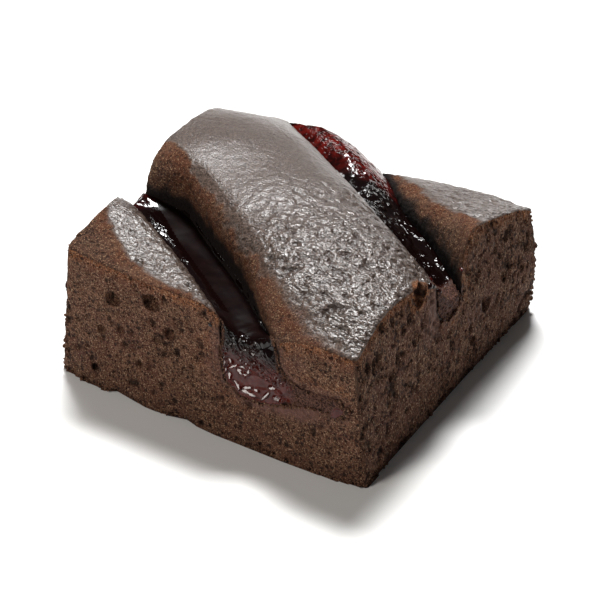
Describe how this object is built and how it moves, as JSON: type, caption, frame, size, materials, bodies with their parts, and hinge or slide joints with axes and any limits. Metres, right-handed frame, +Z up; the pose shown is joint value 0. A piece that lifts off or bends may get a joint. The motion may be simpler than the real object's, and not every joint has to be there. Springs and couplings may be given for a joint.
{
  "type": "chocolate brownie square",
  "caption": "Square of chocolate sponge cake with a satin baked crust, raised in slanting loaves over troughs of dark cherry jam, cut flat on all sides.",
  "frame": {"origin": "middle of the flat underside, on the surface that the square rests on", "axes": "+X along the front cut from the left loaf to the tall loaf, +Y along the right cut from the tall loaf to the right loaf, +Z up"},
  "size_m": [0.0739, 0.0721, 0.0365],
  "materials": {
    "sponge": "open matte chocolate crumb on the cuts, with a thin satin grey-brown baked skin on top",
    "jam": "wet, glossy, very dark red and a little see-through"
  },
  "bodies": {
    "root": {"sponge": "sponge", "jam_left": "jam", "jam_right": "jam"}
  },
  "joints": []
}
